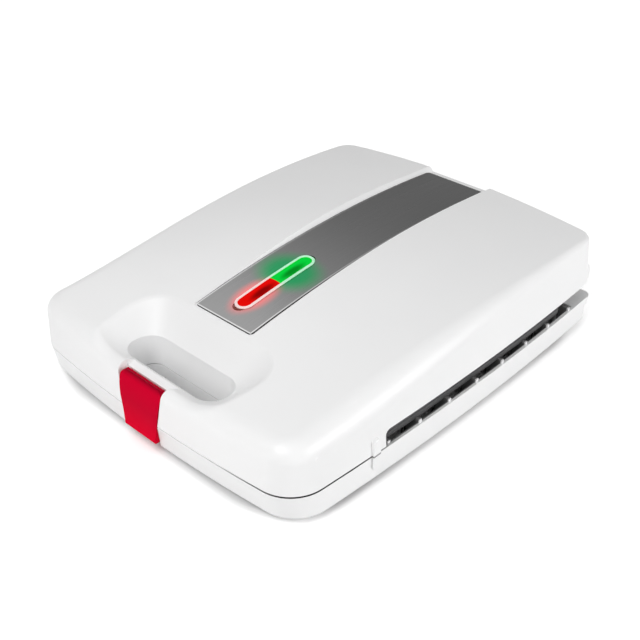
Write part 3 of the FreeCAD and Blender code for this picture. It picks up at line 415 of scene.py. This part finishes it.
def base_plastic():
    """Shell plastic with painted shade in the well behind the tips of the side ribs and along its lower
    edge.
    """
    m = shell_plastic("base_plastic")
    x, y, z = m.axes()
    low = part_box("base_shell")[0][2]
    # painted shade along the lower edge
    low_edge = m.fade(z, low, low + LOW_EDGE_RISE, LOW_EDGE_SHADE, 0.0)
    m.colour = m.mix(low_edge, m.colour, LOW_EDGE_SHADE_TONE)
    bow = m.math("DIVIDE", m.math("MULTIPLY", y, y), 2 * SIDE_RADIUS)
    inset = m.math("SUBTRACT", m.math("SUBTRACT", cad_box[1][0], bow), m.math("ABSOLUTE", x))
    well = 1.0
    for value, start, end in (
        (inset, WELL_INSET, WELL_INSET + WELL_SOFT),
        (y, WELL_FRONT, WELL_FRONT + WELL_SOFT),
        (y, WELL_REAR, WELL_REAR - WELL_SOFT),
        (z, WELL_LOW, WELL_LOW + WELL_SOFT),
    ):
        well = m.math("MULTIPLY", well, m.fade(value, start, end, 0.0, 1.0))
    # painted shade behind the rib tips
    m.paint(m.mix(well, m.colour, WELL_SHADE_TONE))
    return m.material


def red_plastic():
    """The latch: painted shade under its rolled top edge, painted light towards its lip."""
    m = Nodes("red_plastic")
    above = m.math("SUBTRACT", m.axes()[2], LATCH_LOW)
    height = m.math("DIVIDE", above, LATCH_HIGH - LATCH_LOW)
    # painted shade and light by height
    m.paint(m.ramp(height, LATCH_SHADE_TONES))
    m.rough(m.noise(*MOTTLE), *LATCH_ROUGH)
    m.bump(m.noise(*GRAIN), LATCH_GRAIN, GRAIN_DEPTH)
    m.set(Specular_IOR_Level=LATCH_SHINE)
    return m.material


def nonstick():
    """Dark coat with fine speckle over the cast plate."""
    m = Nodes("nonstick")
    speckle = m.noise(*SPECKLE)
    m.tint(speckle, COAT_DARK, COAT_LIGHT)
    m.rough(m.noise(*COAT_MOTTLE), *COAT_ROUGH)
    m.bump(speckle, COAT_RELIEF, SPECKLE_DEPTH)
    return m.material


def metal(name, dark, light, rough_low, rough_high, cells, scratch):
    """Sheet or drawn metal with fine lines along the axis that has the fewest cells."""
    m = Nodes(name)
    m.set(Metallic=1.0)
    lines = m.noise(1.0, METAL_DETAIL, cells)
    m.tint(lines, dark, light)
    m.rough(lines, rough_low, rough_high)
    m.bump(lines, scratch, SCRATCH_DEPTH)
    return m.material


def brushed_trim():
    """Satin strip with a painted reflection darker towards the rear, a painted highlight on the bevel, a
    dark seat line and a painted glow of the lamps' light around the capsule.
    """
    m = Nodes("brushed_trim")
    m.set(Metallic=1.0)
    x, y = m.axes()[:2]
    lines = m.noise(1.0, BRUSH_DETAIL, BRUSH_CELLS)
    along = m.math("DIVIDE", m.math("SUBTRACT", y, STRIP_FRONT), STRIP_REAR - STRIP_FRONT)
    along = m.math("ADD", along, m.spread(lines, -BRUSH_DRIFT, BRUSH_DRIFT))
    # painted reflection along the strip, with a lighter copy for the bevel and a darker one for the seat
    tone, edge_tone, seat_tone = [
        m.ramp(along, [(place, [grey * level] * 3) for place, grey in STRIP_REFLECTION_TONES])
        for level in (1.0, EDGE_HIGHLIGHT_LEVEL, SEAT_LEVEL)
    ]
    # painted reflection of the red and green lamps
    for glow_y, squash, near, far, glow_tone in PAINTED_LAMP_GLOWS:
        tone = m.mix(m.fade(m.away(glow_y, squash), near, far, 1.0, 0.0), tone, glow_tone)
    side = m.math("SUBTRACT", STRIP_HALF, m.math("ABSOLUTE", x))
    inward = m.math("MINIMUM", side, m.math("SUBTRACT", y, STRIP_FRONT))
    # painted highlight along the bevel
    bevel = m.fade(inward, EDGE_HIGHLIGHT_WIDTH, EDGE_HIGHLIGHT_WIDTH + EDGE_SOFT, 1.0, 0.0)
    seat = m.fade(inward, EDGE_GAP, EDGE_GAP + EDGE_SOFT, 1.0, 0.0)
    m.paint(m.mix(seat, m.mix(bevel, tone, edge_tone), seat_tone))
    m.rough(lines, *BRUSH_ROUGH)
    m.bump(lines, BRUSH_RELIEF, SCRATCH_DEPTH)
    return m.material


def lit(name, colour, glow, bright, dim, dim_y):
    """Clear moulding lit from below, dimmer in a long patch right of its middle."""
    m = Nodes(name)
    m.tint(m.noise(*LENS_DRIFT), [channel * LENS_SHADE for channel in colour], colour)
    m.set(Roughness=LENS_ROUGH, Specular_IOR_Level=0.0)
    m.set(Emission_Color=(*glow, 1))
    patch = m.away(dim_y, DIM_SQUASH, DIM_X)
    m.join(m.fade(patch, DIM_NEAR, DIM_FAR, dim, bright), m.shader.inputs["Emission Strength"])
    return m.material


def bezel_light():
    """Milky ring with the colour of the lamp below it painted in, and a painted glow."""
    m = Nodes("bezel_light")
    half = m.fade(m.axes()[1], LAMP_MIDDLE - LAMP_BLEND, LAMP_MIDDLE + LAMP_BLEND, 0.0, 1.0)
    m.paint(m.mix(half, RING_RED, RING_GREEN))
    m.set(Roughness=RING_ROUGH, Specular_IOR_Level=RING_SHINE)
    # painted glow of the lamps below
    m.set(Emission_Color=RING_GLOW, Emission_Strength=RING_GLOW_LEVEL)
    return m.material


def lamp_glass():
    m = Nodes("lamp_glass")
    m.tint(m.noise(*GLASS_DRIFT), GLASS_DARK, GLASS_LIGHT)
    m.set(Roughness=GLASS_ROUGH, IOR=GLASS_IOR, Transmission_Weight=GLASS_CLEAR)
    return m.material


def make_materials():
    """A material for every slot of the record."""
    made = {
        "white_plastic": glossy_white("white_plastic").material,
        "red_plastic": red_plastic(),
        "nonstick": nonstick(),
        "brushed_trim": brushed_trim(),
        "bezel_light": bezel_light(),
        "lamp_glass": lamp_glass(),
    }
    made.update({name: moulded(name, *values).material for name, values in MOULDED.items()})
    made.update({name: metal(name, *values) for name, values in METALS.items()})
    made.update({name: lit(name, *values) for name, values in LENSES.items()})
    return made


def dress(made):
    """Every CAD node gets the material of its slot, and the two shells their own."""
    slots = {row["node"]: row["material_slot"] for row in frame["record"]["subparts"]}
    for name, obj in nodes.items():
        obj.data.materials.clear()
        obj.data.materials.append(made[slots[name]])
    nodes["base_shell"].data.materials[0] = base_plastic()
    nodes["lid_shell"].data.materials[0] = shell_plastic("lid_plastic").material


def strip_height(y):
    """Top of the trim strip over the middle line."""
    return ARC_TOP - ARC_R + math.sqrt(ARC_R ** 2 - (y - ARC_Y) ** 2)


def capsule_half(half, inset, lift, end_y):
    """Points on the strip from the middle, round one end of a capsule and back."""
    turn = math.copysign(1.0, end_y - LAMP_MIDDLE)
    centre = end_y - turn * (inset + half)
    plan = [(half, LAMP_MIDDLE + (centre - LAMP_MIDDLE) * i / SIDE_STEPS) for i in range(SIDE_STEPS)]
    for i in range(TURN_STEPS + 1):
        angle = math.pi * i / TURN_STEPS
        plan.append((half * math.cos(angle), centre + turn * half * math.sin(angle)))
    plan += [(-x, y) for x, y in reversed(plan[:SIDE_STEPS])]
    return [(x, y, strip_height(y) + lift) for x, y in plan]


def add_cap(name, points, faces, node, slot, made):
    """An own piece on the lid that stands for a CAD node."""
    mesh = bpy.data.meshes.new(name)
    mesh.from_pydata(points, [], faces)
    work = bmesh.new()
    work.from_mesh(mesh)
    bmesh.ops.recalc_face_normals(work, faces=work.faces)
    work.to_mesh(mesh)
    work.free()
    mesh.shade_smooth()
    mesh.set_sharp_from_angle(angle=SHARP_ANGLE)
    mesh.materials.append(made[slot])
    cap = bpy.data.objects.new(name, mesh)
    bpy.context.scene.collection.objects.link(cap)
    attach(cap, "lid")
    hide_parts(node)


def add_ring(made):
    """Ring of the indicator: a rounded band between two capsules."""
    loops = []
    for half, lift in RING_PROFILE:
        inset = RING_HALF - half
        front = capsule_half(half, inset, lift, RING_FRONT)
        rear = capsule_half(half, inset, lift, RING_REAR)
        loops.append(front + rear[-2:0:-1])
    count = len(loops[0])
    faces = []
    for k in range(len(loops)):
        low = k * count
        high = (k + 1) % len(loops) * count
        for i in range(count):
            j = (i + 1) % count
            faces.append((low + i, low + j, high + j, high + i))
    add_cap("indicator_ring_cap", sum(loops, []), faces, "indicator_bezel", "bezel_light", made)


def add_lens(name, end_y, node, slot, made):
    """Half of the lens bar: straight sides below, a low dome on top."""
    levels = [(LENS_HALF, LENS_LOW)]
    for i in range(DOME_STEPS + 1):
        angle = DOME_ANGLE * i / DOME_STEPS
        levels.append((LENS_HALF * math.cos(angle), LENS_RISE + DOME_RISE * math.sin(angle)))
    loops = [capsule_half(half, RING_HALF - half, lift, end_y) for half, lift in levels]
    count = len(loops[0])
    last = (len(loops) - 1) * count
    faces = []
    for low in range(0, last, count):
        high = low + count
        faces += [(low + i, low + i + 1, high + i + 1, high + i) for i in range(count - 1)]
    tip = count // 2
    for first in (0, last):
        end = first + count - 1
        faces += [(first + i, first + i + 1, end - 1 - i, end - i) for i in range(tip - 1)]
        faces.append((first + tip - 1, first + tip, first + tip + 1))
    rights = list(range(0, last + 1, count))
    faces.append(rights + [right + count - 1 for right in reversed(rights)])
    add_cap(name, sum(loops, []), faces, node, slot, made)


def add_indicator(made):
    add_ring(made)
    add_lens("red_lens_cap", RING_FRONT, "red_lens", "red_light", made)
    add_lens("green_lens_cap", RING_REAR, "green_lens", "green_light", made)


def seen_directly(tree):
    """1 for camera, glossy and transmission rays, 0 for the rays that light things."""
    path = tree.nodes.new("ShaderNodeLightPath")
    seen = path.outputs["Is Camera Ray"]
    for ray in ("Is Glossy Ray", "Is Transmission Ray"):
        either = tree.nodes.new("ShaderNodeMath")
        either.operation = "MAXIMUM"
        tree.links.new(seen, either.inputs[0])
        tree.links.new(path.outputs[ray], either.inputs[1])
        seen = either.outputs["Value"]
    return seen


def set_world():
    """White where it is seen, a plain level where it lights."""
    world = bpy.data.worlds.new("studio")
    bpy.context.scene.world = world
    world.use_nodes = True
    tree = world.node_tree
    background = tree.nodes["Background"]
    background.inputs["Color"].default_value = (1, 1, 1, 1)
    level = tree.nodes.new("ShaderNodeMapRange")
    level.inputs["To Min"].default_value = WORLD_LEVEL
    level.inputs["To Max"].default_value = 1.0
    tree.links.new(seen_directly(tree), level.inputs["Value"])
    tree.links.new(level.outputs["Result"], background.inputs["Strength"])


def add_floor():
    """Pale floor that keeps the shadow and meets the white background."""
    bpy.ops.mesh.primitive_plane_add(size=2 * FLOOR_HALF, location=(0, 0, 0))
    floor = bpy.context.object
    floor.name = "floor"
    m = Nodes("floor")
    m.set(Base_Color=(FLOOR_GREY, FLOOR_GREY, FLOOR_GREY, 1), Roughness=1.0, Specular_IOR_Level=0.0)
    m.set(Emission_Color=(1, 1, 1, 1))
    half_x, half_y = cad_box[1][:2]
    past_core = m.past_box(half_x - FLOOR_ROUND, half_y - FLOOR_ROUND)
    past = m.math("SUBTRACT", past_core, FLOOR_ROUND)
    lift = 0.0
    for (start, low), (end, high) in zip(FLOOR_LIFTS, FLOOR_LIFTS[1:]):
        lift = m.math("ADD", lift, m.fade(past, start, end, 0.0, high - low))
    m.join(m.math("MULTIPLY", lift, seen_directly(m.tree)), m.shader.inputs["Emission Strength"])
    floor.data.materials.append(m.material)


def add_lamps():
    for name, (place, aim, size, power) in LAMPS.items():
        data = bpy.data.lights.new(name, "AREA")
        data.size = size
        data.energy = power
        lamp = bpy.data.objects.new(name, data)
        lamp.location = place
        lamp.rotation_euler = (aim - place).to_track_quat("-Z", "Y").to_euler()
        bpy.context.scene.collection.objects.link(lamp)


def add_camera():
    data = bpy.data.cameras.new("camera")
    data.lens = LENS_MM
    data.sensor_width = SENSOR_MM
    a = math.radians(CAMERA_AZIMUTH)
    e = math.radians(CAMERA_ELEVATION)
    back = Vector((math.sin(a) * math.cos(e), -math.cos(a) * math.cos(e), math.sin(e)))
    right = Vector((math.cos(a), math.sin(a), 0))
    up = back.cross(right)
    camera = bpy.data.objects.new("camera", data)
    camera.matrix_world = Matrix((
        (right.x, up.x, back.x, CAMERA_AT.x),
        (right.y, up.y, back.y, CAMERA_AT.y),
        (right.z, up.z, back.z, CAMERA_AT.z),
        (0, 0, 0, 1),
    ))
    bpy.context.scene.collection.objects.link(camera)
    bpy.context.scene.camera = camera


bpy.context.scene.view_settings.view_transform = "Standard"
materials = make_materials()
dress(materials)
add_indicator(materials)
set_world()
add_floor()
add_lamps()
add_camera()
